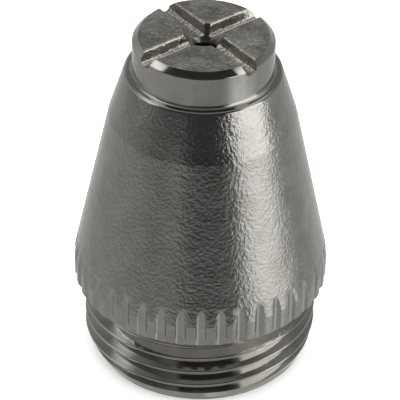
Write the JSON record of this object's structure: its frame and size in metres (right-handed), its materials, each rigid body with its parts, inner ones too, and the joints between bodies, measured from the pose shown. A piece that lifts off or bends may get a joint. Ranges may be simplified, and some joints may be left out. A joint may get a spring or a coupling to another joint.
{
  "type": "plasma torch nozzle",
  "caption": "Tapered plasma torch nozzle turned in one piece, with a threaded shank, a fluted grip band, a long cone and a round slotted crown round the arc's orifice.",
  "frame": {"origin": "on the turning axis in the flat end face of the threaded shank, the lowest face", "axes": "+Z along the turning axis from the threaded shank to the crown; -Y towards the front"},
  "size_m": [0.015, 0.015, 0.0217],
  "materials": {
    "plating": "satin nickel and chrome plating over copper"
  },
  "bodies": {
    "root": {"nozzle": "plating"}
  },
  "joints": []
}
